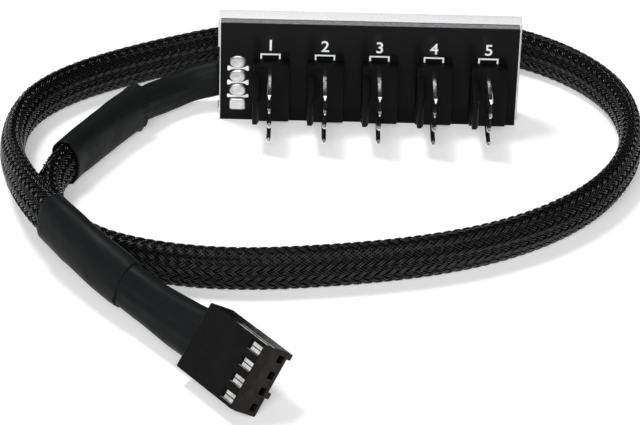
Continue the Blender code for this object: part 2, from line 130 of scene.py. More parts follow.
def newTree(name, **inputs):
    tree = bpy.data.node_groups.new(name, "GeometryNodeTree")
    face = tree.interface
    face.new_socket("Geometry", in_out="INPUT", socket_type="NodeSocketGeometry")
    face.new_socket("Geometry", in_out="OUTPUT", socket_type="NodeSocketGeometry")
    for label, kind in inputs.items():
        face.new_socket(label, in_out="INPUT", socket_type="NodeSocket" + kind)
    start = addNode(tree, "NodeGroupInput")
    end = addNode(tree, "NodeGroupOutput")
    return tree, start.outputs, end.inputs


def finishTree(tree, geometry, material, out):
    real = addNode(tree, "GeometryNodeRealizeInstances", {0: geometry})
    dressed = addNode(tree, "GeometryNodeSetMaterial", {0: real.outputs[0], "Material": material})
    tree.links.new(dressed.outputs[0], out["Geometry"])


# small helpers for meshes and pieces

def newObject(name, data):
    thing = bpy.data.objects.new(name, data)
    bpy.context.scene.collection.objects.link(thing)
    return thing


def plainMesh(holder):
    # the mesh that a holder's text or node tree makes; the holder goes
    ready = holder.evaluated_get(bpy.context.evaluated_depsgraph_get())
    mesh = bpy.data.meshes.new_from_object(ready)
    holder.modifiers.clear()
    bpy.data.objects.remove(holder)
    return mesh


def linkPiece(name, mesh, smooth=True, sharpAngle=40):
    if smooth:
        mesh.shade_smooth()
        mesh.set_sharp_from_angle(angle=math.radians(sharpAngle))
    piece = newObject(name, mesh)
    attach(piece, "root")
    return piece


def makePiece(name, points, faces, material):
    mesh = bpy.data.meshes.new(name)
    mesh.from_pydata([tuple(p) for p in points], [], faces)
    mesh.materials.append(material)
    return linkPiece(name, mesh)


def runTree(name, data, tree, inputs, sharpAngle=40):
    # runs a node tree on some starting shape and keeps the plain mesh
    holder = newObject(name + "Start", data)
    modifier = holder.modifiers.new(name, "NODES")
    modifier.node_group = tree
    items = [item for item in tree.interface.items_tree if item.in_out == "INPUT"]
    sockets = {item.name: item.identifier for item in items}
    for label, value in inputs.items():
        modifier[sockets[label]] = value
    mesh = plainMesh(holder)
    mesh.name = name
    return linkPiece(name, mesh, sharpAngle=sharpAngle)


def ringFaces(rows, count, base=0, closed=False, ends=2):
    # quads between rows of points that go round, with flat ends unless the rows close up
    faces = []
    for r in range(rows if closed else rows - 1):
        here, there = base + r * count, base + (r + 1) % rows * count
        for i in range(count):
            j = (i + 1) % count
            faces.append((here + i, here + j, there + j, there + i))
    if not closed:
        faces.append(tuple(range(base, base + count))[::-1])
        if ends == 2:
            last = base + (rows - 1) * count
            faces.append(tuple(range(last, last + count)))
    return faces


def prism(bm, near, far):
    # closed block between two outlines
    rows = [[bm.verts.new(point) for point in outline] for outline in (near, far)]
    faces = [bm.faces.new(rows[0][::-1]), bm.faces.new(rows[1])]
    for i in range(len(near)):
        j = (i + 1) % len(near)
        faces.append(bm.faces.new((rows[0][i], rows[0][j], rows[1][j], rows[1][i])))
    bmesh.ops.recalc_face_normals(bm, faces=faces)


def turnOut(mesh):
    # turns a closed mesh's faces outwards
    bm = bmesh.new()
    bm.from_mesh(mesh)
    bmesh.ops.recalc_face_normals(bm, faces=bm.faces)
    bm.to_mesh(mesh)
    bm.free()


def meshOf(bm, name, material):
    mesh = bpy.data.meshes.new(name)
    bm.to_mesh(mesh)
    bm.free()
    mesh.materials.append(material)
    return mesh


def ovalRing(width, height, count, roundness=2.2):
    # an ellipse at roundness 2, nearly a rectangle at 7
    angle = 2 * np.pi * np.arange(count) / count
    c, s = np.cos(angle), np.sin(angle)
    reach = (np.abs(c) ** roundness + np.abs(s) ** roundness) ** (-1 / roundness)
    return np.stack([width / 2 * reach * c, height / 2 * reach * s], 1)


def wobble(*place):
    return noise.noise(Vector(place))


def normalized(rows):
    return rows / np.linalg.norm(rows, axis=1)[:, None]


# camera

cameraLook = {
    "place": (-0.01497, -0.43866, 0.257485),
    "ahead": (0.0153, 0.8492, -0.52785),
    "right": (0.99964, -0.00124, 0.02698),
    "lens": 181.07,
    "sensor": 36,
    "nearest": 0.01,
}


def makeCamera():
    data = bpy.data.cameras.new("camera")
    data.lens = cameraLook["lens"]
    data.sensor_width = cameraLook["sensor"]
    data.clip_start = cameraLook["nearest"]
    camera = newObject("camera", data)
    ahead = Vector(cameraLook["ahead"]).normalized()
    right = Vector(cameraLook["right"])
    right = (right - ahead * right.dot(ahead)).normalized()
    up = right.cross(ahead)
    turn = Matrix((right, up, -ahead)).transposed().to_4x4()
    camera.matrix_world = Matrix.Translation(cameraLook["place"]) @ turn
    bpy.context.scene.camera = camera


# the cord's line

cord = {
    "line": [  # millimetres, from the board to the plug
        (-23.3, 7.9, 4.95), (-27.9, 7.3, 3.85), (-31.6, 4.9, 3.35), (-35.6, 0.3, 3.95),
        (-40.3, -6.9, 4.0), (-43.6, -12.7, 4.0), (-46.4, -18.1, 4.0), (-47.9, -23.0, 3.7),
        (-47.9, -28.0, 3.6), (-46.6, -33.1, 3.6), (-43.6, -38.0, 3.6), (-38.9, -41.9, 3.6),
        (-32.4, -44.5, 3.6), (-20.5, -46.1, 3.6), (-7.5, -44.9, 3.6), (5.5, -42.2, 3.6),
        (18.0, -37.5, 3.6), (29.0, -29.9, 3.6), (37.4, -18.9, 3.6), (41.0, -5.2, 3.6),
        (39.0, 7.1, 3.6), (31.5, 17.4, 3.6), (20.0, 23.9, 3.6), (5.0, 26.0, 3.6),
        (-10.0, 24.9, 3.6), (-24.3, 20.2, 3.6), (-38.0, 13.2, 3.6), (-48.6, 5.2, 3.6),
        (-53.2, -1.8, 3.65), (-54.7, -9.2, 3.8), (-54.3, -18.9, 5.2), (-52.3, -27.9, 6.9),
        (-49.2, -35.8, 7.7), (-44.6, -43.2, 7.6), (-39.2, -50.0, 6.6), (-32.1, -57.9, 5.6),
        (-27.9, -62.6, 5.4),
    ],
    "lengths": (16.5 * mm, 20 * mm, None, 19.4 * mm, 16.1 * mm),  # tubes, with the sleeve between
    "gap": 0.3 * mm,
    "leanLength": 60 * mm,  # the stretch before the plug, where the cord leans over
    "headingReach": 0.5 * mm,
    "floorGap": 0.02 * mm,
}
housing = {
    "front": (-15.7 * mm, -77.5 * mm),
    "heading": math.radians(-52.3),
    "roll": math.radians(54.3),
    "length": 13.25 * mm,
    "width": 10.2 * mm,
    "thickness": 4.75 * mm,
}


def splineThrough(points, cuts=40):
    # natural cubic spline, cut into many short steps
    points = np.array(points, float)
    steps = np.linalg.norm(np.diff(points, axis=0), axis=1)
    rises = np.diff(points, axis=0) / steps[:, None]
    count = len(points)
    left, right = np.zeros((count, count)), np.zeros_like(points)
    for i in range(1, count - 1):
        left[i, i - 1:i + 2] = (steps[i], 2 * (steps[i - 1] + steps[i]), steps[i - 1])
        right[i] = 3 * (steps[i] * rises[i - 1] + steps[i - 1] * rises[i])
    left[0, :2], left[-1, -2:] = (2, 1), (1, 2)
    right[0], right[-1] = 3 * rises[0], 3 * rises[-1]
    slopes = np.linalg.solve(left, right)
    t = np.linspace(0, 1, cuts, endpoint=False)[:, None]
    pieces = [
        (2 * t**3 - 3 * t**2 + 1) * points[i] + (t**3 - 2 * t**2 + t) * step * slopes[i]
        + (3 * t**2 - 2 * t**3) * points[i + 1] + (t**3 - t**2) * step * slopes[i + 1]
        for i, step in enumerate(steps)
    ]
    return np.concatenate([*pieces, points[-1:]])


rollCos, rollSin = math.cos(housing["roll"]), math.sin(housing["roll"])
plugLift = (housing["width"] * rollSin + housing["thickness"] * rollCos) / 2
plugPlace = np.array([*housing["front"], plugLift])
plugAhead = np.array([math.cos(housing["heading"]), math.sin(housing["heading"]), 0])
plugSide = np.array([-plugAhead[1], plugAhead[0], 0])
plugFace = rollCos * np.array([0, 0, 1]) - rollSin * plugSide  # out of the windows' face
plugEdge = rollSin * np.array([0, 0, 1]) + rollCos * plugSide  # out of the upper side
plugRear = plugPlace - plugAhead * (housing["length"] + cord["gap"])

linePoints = splineThrough([*(np.array(cord["line"]) * mm), plugRear])
lineSteps = np.linalg.norm(np.diff(linePoints, axis=0), axis=1)
lineDistance = np.concatenate([[0], np.cumsum(lineSteps)])
cordLength = float(lineDistance[-1])
sleeveLength = cordLength - sum(x for x in cord["lengths"] if x) - 4 * cord["gap"]
spans = []
reached = 0.0
for stretch in cord["lengths"]:
    spans.append((reached, reached + (stretch or sleeveLength)))
    reached = spans[-1][1] + cord["gap"]


def linePlace(distance):
    return np.array([np.interp(distance, lineDistance, linePoints[:, k]) for k in range(3)]).T


def crossFrame(distance):
    # middle, heading, sideways and upward directions of the cord's section
    distance = np.atleast_1d(distance)
    low = np.clip(distance - cord["headingReach"], 0, cordLength)
    high = np.clip(distance + cord["headingReach"], 0, cordLength)
    ahead = normalized(linePlace(high) - linePlace(low))
    side = normalized(np.cross([0, 0, 1], ahead))
    up = np.cross(ahead, side)
    share = np.clip((distance - cordLength + cord["leanLength"]) / cord["leanLength"], 0, 1)
    lean = (share * (math.pi / 2 - housing["roll"]))[:, None]
    return (
        linePlace(distance), ahead,
        np.cos(lean) * side - np.sin(lean) * up,
        np.cos(lean) * up + np.sin(lean) * side,
    )


def sweep(name, distances, sections, material, closed=False, shifts=None):
    # skin over one loop of (sideways, upward) points for each distance; closed, the last
    # loop joins the first, for a wall with an inside
    middle, ahead, side, up = crossFrame(distances)
    sections = np.array(sections)
    rings = middle[:, None] + side[:, None] * sections[:, :, :1] + up[:, None] * sections[:, :, 1:]
    if shifts is not None:
        rings = rings + ahead[:, None] * np.array(shifts)[:, :, None]
    rings[:, :, 2] = np.maximum(rings[:, :, 2], cord["floorGap"])
    faces = ringFaces(*sections.shape[:2], closed=closed)
    return makePiece(name, rings.reshape(-1, 3), faces, material)


# finishes

finish = {
    "mask": (0.003, 0.0032, 0.0034),
    "maskCloud": (0.006, 0.0063, 0.0066),
    "maskSheen": (0.011, 0.0112, 0.0115),  # painted sheen towards the board's upper edge
    "laminate": (0.42, 0.42, 0.42),
    "laminateDark": (0.05, 0.05, 0.048),
    "edgeLine": (0.03, 0.03, 0.03),  # along the cut edges, under each face
    "endStripHighlight": (0.8, 0.8, 0.8),  # painted highlight: a pale strip at both ends, past the mask
    "nylon": (0.003, 0.003, 0.0033),
    "nylonCloud": (0.0055, 0.0055, 0.006),
    "leadIn": (0.012, 0.009, 0.0075),
    # painted reflection on the plug's mouth
    "mouthReflection": (0.019, 0.0172, 0.0155),
    # painted highlights on the rails along the plug's upper side
    "rails": (0.85, 0.84, 0.82),
    "fibre": (0.0015, 0.0015, 0.0018),
    "fibrePale": (0.005, 0.005, 0.0055),
    "tube": (0.0062, 0.0068, 0.0072),
    "tubeCloud": (0.010, 0.0108, 0.0112),
    "wire": (0.004, 0.004, 0.004),
    "wireCloud": (0.009, 0.009, 0.009),
    "tin": (0.88, 0.87, 0.86),
    "solder": (0.70, 0.69, 0.69),
    "metalDull": 0.62,  # share of the colour left where it has dulled
    "ink": (0.98, 0.98, 0.98),
    "inkThin": (0.92, 0.92, 0.92),
    "foam": (0.80, 0.80, 0.815),
    # painted shade in the foam's pores
    "foamPoreShade": (0.69, 0.69, 0.705),
    "liner": (0.80, 0.79, 0.75),
    # painted shade in the liner's creases
    "linerCreaseShade": (0.70, 0.69, 0.64),
}
board = {
    "front": 3.075 * mm,
    "back": 4.675 * mm,
    "maskDepth": 0.04 * mm,
    "maskEnd": 23.38 * mm,  # the mask stops just short of both ends
    "edgeLine": 0.22 * mm,
    "pale": (9 * mm, 16 * mm),  # heights between which a painted sheen makes the face paler
}
# where the plug's side rails get painted highlights
plugGlints = {
    "rails": ((2.1 * mm, 0.4 * mm), (1.15 * mm, 0.26 * mm)),  # height on the side, half width
    "railFade": (-7.6 * mm, -6.4 * mm),  # back from the plug's front
}


def makeBoardFinish():
    # glossy mask on both faces, pale glass laminate round the cut edges
    material, tree, shader, place = newMaterial("boardMask")
    x, y, z = parts(tree, place)
    inFront = sums(tree, "LESS_THAN", y, board["front"] + board["maskDepth"])
    behind = sums(tree, "GREATER_THAN", y, board["back"] - board["maskDepth"])
    inside = sums(tree, "LESS_THAN", sums(tree, "ABSOLUTE", x), board["maskEnd"])
    masked = product(tree, sums(tree, "MAXIMUM", inFront, behind), inside)
    stretched = addNode(tree, "ShaderNodeMapping", {"Vector": place, "Scale": (0.35, 6, 1)})
    layers = noiseAt(tree, stretched.outputs[0], 2600, 3, 0.6)
    glass = product(tree, noiseAt(tree, place, 9000, 4, 0.7), layers)
    glass = between(tree, glass, 0.12, 0.4, 0, 1)
    cut = mixColor(tree, glass, finish["laminateDark"], finish["laminate"])
    middle, half = (board["front"] + board["back"]) / 2, (board["back"] - board["front"]) / 2
    away = sums(tree, "ABSOLUTE", sums(tree, "SUBTRACT", y, middle))
    line = product(tree, sums(tree, "GREATER_THAN", away, half - board["edgeLine"]), 0.85)
    # past the mask, both ends get a pale strip, a painted highlight on the board's end rims
    cut = mixColor(tree, inside, finish["endStripHighlight"], mixColor(tree, line, cut, finish["edgeLine"]))
    face = mixColor(tree, noiseAt(tree, place, 120, 2), finish["mask"], finish["maskCloud"])
    # painted sheen: the mask face grows paler towards the upper edge
    face = mixColor(tree, between(tree, z, *board["pale"], 0, 0.6), face, finish["maskSheen"])
    color = mixColor(tree, masked, cut, face)
    paint(tree, shader, color, between(tree, masked, 0, 1, 0.75, 0.16), 0.055)
    bumped(tree, shader, noiseAt(tree, place, 700, 2), 0.05, 0.02 * mm)
    return material


# the plug's brownish lead-in, with a painted reflection on its mouth and painted highlights on its
# side rails
def plugTintAndHighlights(tree, place, shade):
    dot = lambda a, b: vectors(tree, "DOT_PRODUCT", a, tuple(b))
    normal = addNode(tree, "ShaderNodeNewGeometry").outputs["True Normal"]
    # the mouth gets a patchy painted reflection, paler, with a brownish lead-in
    facing = dot(normal, plugAhead)
    patches = between(tree, noiseAt(tree, place, 800, 4, 0.7), 0.38, 0.66, 0.1, 1)
    mouthReflection = product(tree, between(tree, facing, 0.3, 0.9, 0, 1), patches)
    shade = mixColor(tree, between(tree, facing, 0.2, 0.5, 0, 0.6), shade, finish["leadIn"])
    shade = mixColor(tree, mouthReflection, shade, finish["mouthReflection"])
    # two rails along the upper side get a painted highlight near the mouth
    inward = vectors(tree, "SUBTRACT", place, tuple(plugPlace))
    height = dot(inward, plugFace)
    rails = [
        between(tree, sums(tree, "ABSOLUTE", sums(tree, "SUBTRACT", height, at)), wide, 0, 0, 1)
        for at, wide in plugGlints["rails"]
    ]
    rail = product(
        tree, sums(tree, "MAXIMUM", *rails),
        sums(tree, "GREATER_THAN", dot(normal, plugEdge), 0.6),
        between(tree, dot(inward, plugAhead), *plugGlints["railFade"], 0, 1),
        between(tree, noiseAt(tree, place, 800, 3), 0.3, 0.6, 0.3, 1),
    )
    return mixColor(tree, rail, shade, finish["rails"])


def makeNylonFinish(name, roughness, specular, tintAndHighlights=False):
    material, tree, shader, place = newMaterial(name)
    shade = mixColor(tree, noiseAt(tree, place, 260, 3), finish["nylon"], finish["nylonCloud"])
    # the plug adds a brownish lead-in, a painted reflection and painted highlights
    if tintAndHighlights:
        shade = plugTintAndHighlights(tree, place, shade)
    cloud = noiseAt(tree, place, 900, 4)
    rough = between(tree, cloud, 0.3, 0.7, roughness - 0.07, roughness + 0.09)
    paint(tree, shader, shade, rough, specular)
    bumped(tree, shader, noiseAt(tree, place, 5200, 3), 0.12, 0.03 * mm)
    return material


def makeTubeFinish():
    material, tree, shader, place = newMaterial("shrinkTube")
    shade = mixColor(tree, noiseAt(tree, place, 160, 3), finish["tube"], finish["tubeCloud"])
    rough = between(tree, noiseAt(tree, place, 420, 4), 0.3, 0.7, 0.40, 0.56)
    paint(tree, shader, shade, rough, 0.07)
    fine = product(tree, noiseAt(tree, place, 3800, 3), 0.5)
    relief = sums(tree, "ADD", fine, noiseAt(tree, place, 330, 2))
    bumped(tree, shader, relief, 0.32, 0.10 * mm)
    return material


def makeFibreFinish():
    # smooth black monofilament, each strand a little duller or shinier
    material, tree, shader, place = newMaterial("sleeveFibre")
    tone = addNode(tree, "ShaderNodeAttribute", attribute_name="tone").outputs["Fac"]
    pale = product(tree, noiseAt(tree, place, 700, 2), tone)
    dull = sums(tree, "ADD", product(tree, tone, 0.10), noiseAt(tree, place, 1500, 2))
    shade = mixColor(tree, pale, finish["fibre"], finish["fibrePale"])
    paint(tree, shader, shade, between(tree, dull, 0.3, 0.8, 0.07, 0.20), 0.27)
    bumped(tree, shader, noiseAt(tree, place, 6000, 2), 0.1, 0.015 * mm)
    return material


def makeWireFinish():
    material, tree, shader, place = newMaterial("wireBundle")
    shade = mixColor(tree, noiseAt(tree, place, 500, 2), finish["wire"], finish["wireCloud"])
    paint(tree, shader, shade, 0.6, 0.2)
    return material


def makeMetalFinish(name, color, roughness, grain, strength):
    material, tree, shader, place = newMaterial(name)
    cloud = between(tree, noiseAt(tree, place, 700, 3), 0.35, 0.7, 0, 1)
    shade = mixColor(tree, cloud, color, [c * finish["metalDull"] for c in color])
    streak = noiseAt(tree, place, 2400, 3)
    rough = between(tree, streak, 0.3, 0.7, roughness - 0.08, roughness + 0.1)
    paint(tree, shader, shade, rough)
    shader.inputs["Metallic"].default_value = 1
    bumped(tree, shader, noiseAt(tree, place, grain, 3), strength, 0.03 * mm)
    return material


def makeFoamFinish():
    # fine open cells on the cut sides and a smooth peel-off liner on the back, with painted shade
    # in the pores and in the liner's creases
    material, tree, shader, place = newMaterial("padFoam")
    cells = addNode(tree, "ShaderNodeTexVoronoi", {"Vector": place, "Scale": 3600})
    pores = between(tree, cells.outputs["Distance"], 0.1, 0.6, 0, 1)
    liner = sums(tree, "GREATER_THAN", parts(tree, place)[1], pad["back"] - 0.02 * mm)
    creases = noiseAt(tree, place, 90, 4, 0.6)
    # painted shade darkens the liner's creases
    paper = mixColor(tree, creases, finish["linerCreaseShade"], finish["liner"])
    # painted shade darkens the pores of the cut sides
    cut = mixColor(tree, pores, finish["foamPoreShade"], finish["foam"])
    color = mixColor(tree, liner, cut, paper)
    paint(tree, shader, color, between(tree, liner, 0, 1, 0.85, 0.42), 0.2)
    relief = addNode(tree, "ShaderNodeMix", {0: liner, 2: pores, 3: creases}, data_type="FLOAT")
    bumped(tree, shader, relief.outputs[0], 0.35, 0.08 * mm)
    return material


def makeInkFinish():
    material, tree, shader, place = newMaterial("whiteInk")
    shade = mixColor(tree, noiseAt(tree, place, 2600, 3), finish["ink"], finish["inkThin"])
    paint(tree, shader, shade, 0.45)
    bumped(tree, shader, noiseAt(tree, place, 3000, 3), 0.25, 0.02 * mm)
    return material


# braided sleeve

braid = {
    "width": 3.8 * mm,
    "height": 7.0 * mm,
    "carriers": 16,  # strands that run each way round
    "pitch": 24.5 * mm,  # length of one turn
    "filaments": 2,  # in each strand
    "filamentStep": 0.33 * mm,
    "filamentRadius": 0.135 * mm,
    "filamentSides": 6,
    "wave": 0.18 * mm,  # how far a strand rises and dips as it goes over and under
    "sink": 0.9,  # how deep the strands' middle lies, as a share of wave and radius
    "looseness": 0.05,  # how far strands stray sideways
    "strayAcross": 1.1,  # how far filaments stray, as shares of their radius
    "strayOut": 0.6,
    "driftScale": 150,
    "strayScale": 420,
    "opening": 15 * mm,  # stretch beside the hub where the weave has worked loose
    "loops": 0.9 * mm,  # how far loose filaments stand off there
    "loopScale": 150,
    "overlap": 2.4 * mm,  # hidden in the tube at each end
    "evening": 0.148,  # spreads the strands evenly round the oval
    "girth": 1.6,  # way round the oval, as a share of width and height together
    "steps": 985,
    "linePoints": 700,
    "weld": 1e-7,
}


def buildBraidTree(material):
    tree, given, out = newTree(
        "braidTree", Start="Float", Length="Float", Width="Float", Height="Float",
        Carriers="Int", Pitch="Float", Offset="Float", Radius="Float", Wave="Float",
        Hand="Float", Loose="Float", Opening="Float", Loops="Float", Hidden="Float",
        Steps="Int", CordLength="Float", LeanLength="Float", Lean="Float",
    )
    m = lambda *values: sums(tree, *values)
    v = lambda *values: vectors(tree, *values)
    times = lambda *values: product(tree, *values)
    ramp = lambda *values: between(tree, *values)
    joined = lambda a, far, b, high: v("ADD", scaled(tree, a, far), scaled(tree, b, high))

    # one flat grid for each strand, which is rolled up into its filament
    grid = addNode(tree, "GeometryNodeMeshGrid", {
        "Vertices X": given["Steps"], "Vertices Y": braid["filamentSides"] + 1,
    })
    seeds = addNode(tree, "GeometryNodePoints", {"Count": given["Carriers"]})
    copies = addNode(tree, "GeometryNodeInstanceOnPoints", {
        "Points": seeds.outputs[0], "Instance": grid.outputs["Mesh"],
    })
    numbered = addNode(tree, "GeometryNodeStoreNamedAttribute", {
        "Geometry": copies.outputs[0], "Name": "number",
        "Value": addNode(tree, "GeometryNodeInputIndex").outputs[0],
    }, data_type="FLOAT", domain="INSTANCE")
    flat = addNode(tree, "GeometryNodeRealizeInstances", {0: numbered.outputs[0]})
    number = addNode(tree, "GeometryNodeInputNamedAttribute", {"Name": "number"}, data_type="FLOAT")
    strand = number.outputs[0]
    x, y, z = parts(tree, addNode(tree, "GeometryNodeInputPosition").outputs[0])
    share = m("ADD", x, 0.5)
    round_ = times(m("ADD", y, 0.5), 2 * math.pi)
    along = times(share, given["Length"])
    sample = addNode(tree, "GeometryNodeSampleCurve", {
        "Curves": given["Geometry"], "Length": along,
    }, mode="LENGTH", use_all_curves=True)
    middle, ahead = sample.outputs["Position"], sample.outputs["Tangent"]

    # section directions, leaning over towards the plug
    side = v("NORMALIZE", v("CROSS_PRODUCT", (0, 0, 1), ahead))
    up = v("CROSS_PRODUCT", ahead, side)
    leanStart = m("SUBTRACT", given["CordLength"], given["LeanLength"])
    passed = m("SUBTRACT", m("ADD", given["Start"], along), leanStart)
    lean = times(ramp(passed, 0, given["LeanLength"], 0, 1), given["Lean"])
    leanCos, leanSin = m("COSINE", lean), m("SINE", lean)
    sideways = v("SUBTRACT", scaled(tree, side, leanCos), scaled(tree, up, leanSin))
    upward = joined(up, leanCos, side, leanSin)

    # each strand strays a little, and its filaments a little more
    drift = noiseAt(tree, middle, braid["driftScale"], 2, phase=times(strand, 3.7))
    phase = m("ADD", times(strand, 7.3), times(given["Offset"], 40000))
    stray = m("SUBTRACT", noiseAt(tree, middle, braid["strayScale"], 2, phase=phase), 0.5)
    wander = times(m("SUBTRACT", drift, 0.5), given["Loose"])

    # angle round the sleeve, evened out over the oval
    turn = times(m("DIVIDE", along, given["Pitch"]), 2 * math.pi)
    firstAngle = times(m("DIVIDE", strand, given["Carriers"]), 2 * math.pi)
    evenAngle = m("ADD", m("ADD", firstAngle, times(turn, given["Hand"])), wander)
    evening = times(m("SINE", times(evenAngle, 2)), braid["evening"])
    angle = m("SUBTRACT", evenAngle, evening)
    cosine, sine = m("COSINE", angle), m("SINE", angle)
    halfWidth, halfHeight = times(given["Width"], 0.5), times(given["Height"], 0.5)
    oval = joined(sideways, times(halfWidth, cosine), upward, times(halfHeight, sine))
    slant = joined(sideways, times(halfHeight, cosine), upward, times(halfWidth, sine))
    outward = v("NORMALIZE", slant)
    aroundWay = v("CROSS_PRODUCT", ahead, outward)
    girth = times(m("ADD", given["Width"], given["Height"]), braid["girth"])
    slope = times(m("DIVIDE", girth, given["Pitch"]), given["Hand"])
    strandWay = v("NORMALIZE", v("ADD", ahead, scaled(tree, aroundWay, slope)))
    acrossWay = v("CROSS_PRODUCT", outward, strandWay)

    # over two, under two
    passes = times(m("DIVIDE", turn, math.pi), given["Carriers"], given["Hand"])
    crossings = m("ADD", times(strand, 2), passes)
    wave = m("COSINE", times(m("SUBTRACT", crossings, 0.5), math.pi / 2))
    lift = times(wave, given["Wave"], given["Hand"])

    # the filament's round section, drawn in at both ends
    ends = times(m("MINIMUM", share, m("SUBTRACT", 1, share)), given["Steps"])
    radius = times(given["Radius"], m("MINIMUM", ends, 1))
    strayAcross = times(stray, times(given["Radius"], braid["strayAcross"]))
    strayOut = times(stray, times(given["Radius"], braid["strayOut"]))
    depth = times(m("ADD", given["Wave"], given["Radius"]), -braid["sink"])
    across = m("ADD", m("ADD", given["Offset"], strayAcross), times(m("COSINE", round_), radius))
    rise = m("ADD", lift, times(m("SINE", round_), radius))
    rise = m("ADD", rise, m("ADD", depth, strayOut))

    # beside the hub some filaments have worked loose and stand off in low loops
    free = m("DIVIDE", m("SUBTRACT", along, given["Hidden"]), given["Opening"])
    freeShare = times(
        ramp(free, 0, 0.12, 0, 1), ramp(free, 0.35, 1, 1, 0),
        ramp(cosine, -0.7, 0.1, 1, 0.05), ramp(sine, -0.5, 0.1, 0, 1),
    )
    phase = m("ADD", times(strand, 2.9), times(given["Offset"], 9000))
    loose = m("SUBTRACT", noiseAt(tree, middle, braid["loopScale"], 0, phase=phase), 0.5)
    stand = times(m("MAXIMUM", loose, 0), times(given["Loops"], 3))
    rise = m("ADD", rise, times(stand, freeShare))
    place = v("ADD", v("ADD", middle, oval), joined(outward, rise, acrossWay, across))

    # the finish reads one tone for each strand
    tone = addNode(tree, "FunctionNodeRandomValue", {"ID": strand}, data_type="FLOAT")
    toned = addNode(tree, "GeometryNodeStoreNamedAttribute", {
        "Geometry": flat.outputs[0], "Name": "tone", "Value": tone.outputs[1],
    }, data_type="FLOAT", domain="POINT")
    moved = addNode(tree, "GeometryNodeSetPosition", {
        "Geometry": toned.outputs[0], "Position": place,
    })
    seam = addNode(tree, "GeometryNodeMergeByDistance", {
        0: moved.outputs[0], "Distance": braid["weld"],
    })
    turned = addNode(tree, "GeometryNodeFlipFaces", {0: seam.outputs[0]})
    finishTree(tree, turned.outputs[0], material, out)
    return tree


def makeBraid(fibre):
    tree = buildBraidTree(fibre)
    start, end = spans[2][0] - braid["overlap"], spans[2][1] + braid["overlap"]
    places = linePlace(np.linspace(start, end, braid["linePoints"]))
    same = ("Width", "Height", "Carriers", "Pitch", "Wave", "Opening", "Loops", "Steps")
    inputs = {label: braid[label.lower()] for label in same}
    inputs |= {
        "Start": start, "Length": end - start, "Radius": braid["filamentRadius"],
        "Loose": braid["looseness"], "Hidden": braid["overlap"],
        "CordLength": cordLength, "LeanLength": cord["leanLength"],
        "Lean": math.pi / 2 - housing["roll"],
    }
    pieces = []
    for name, hand in (("braidRight", 1.0), ("braidLeft", -1.0)):
        for filament in range(braid["filaments"]):
            line = bpy.data.curves.new(name + "Line", "CURVE")
            line.dimensions = "3D"
            spline = line.splines.new("POLY")
            spline.points.add(len(places) - 1)
            spline.points.foreach_set("co", np.insert(places, 3, 1, axis=1).ravel())
            offset = (filament - (braid["filaments"] - 1) / 2) * braid["filamentStep"]
            inputs |= {"Hand": hand, "Offset": offset}
            piece = runTree(f"{name}{filament + 1}", line, tree, inputs, sharpAngle=120)
            pieces.append(piece)
    return pieces


# shrink tubes

tubes = {
    "wall": 0.34 * mm,
    "sides": 84,
    "step": 0.4 * mm,
    "lipRound": 0.14 * mm,
    "recess": 1.6 * mm,
    "tuckStart": 0.4,  # millimetres, where a tucked end starts to widen
    "tuckWidth": 0.83,
    "tuckHeight": 0.91,
    "endReach": 0.7 * mm,  # how far a flare or a ragged cut reaches along the tube
    "dents": ((0.10, 240, 1.1), (0.035, 900, 4)),  # millimetres deep, how close along and round
    # sections are (share of the length, width, height); tuck, flare and ragged are for each
    # end: how far it reaches under its neighbour, opens and is torn; ridge is for wires inside
    "shapes": {
        "hubWireTube": {
            "node": "hub_wire_shrink", "span": 0,
            "sections": [(0, 3.6, 6.0), (0.5, 3.7, 6.0), (1, 3.6, 6.0)],
            "tuck": (0, 3), "flare": (0, 0), "ragged": (0.1, 0), "ridge": 0.03,
        },
        "hubSleeveTube": {
            "node": "hub_sleeve_shrink", "span": 1,
            "sections": [(0, 4.6, 7.7), (0.15, 4.6, 7.8), (1, 4.6, 7.8)],
            "tuck": (0, 0), "flare": (0.5, 0.05), "ragged": (0.9, 0.45), "ridge": 0.0,
        },
        "plugSleeveTube": {
            "node": "plug_sleeve_shrink", "span": 3,
            "sections": [
                (0, 4.6, 7.6), (0.75, 4.6, 7.6), (0.9, 4.62, 7.6), (0.96, 4.6, 7.4), (1, 4.5, 7.2),
            ],
            "tuck": (0, 0), "flare": (0.0, 0.14), "ragged": (0.2, 0.3), "ridge": 0.0,
        },
        "plugWireTube": {
            "node": "plug_wire_shrink", "span": 4,
            "sections": [(0, 4.25, 6.75), (0.35, 4.3, 6.8), (1, 4.1, 7.9)],
            "tuck": (3, 0), "flare": (0, 0), "ragged": (0, 0.1), "ridge": 0.05,
        },
    },
}


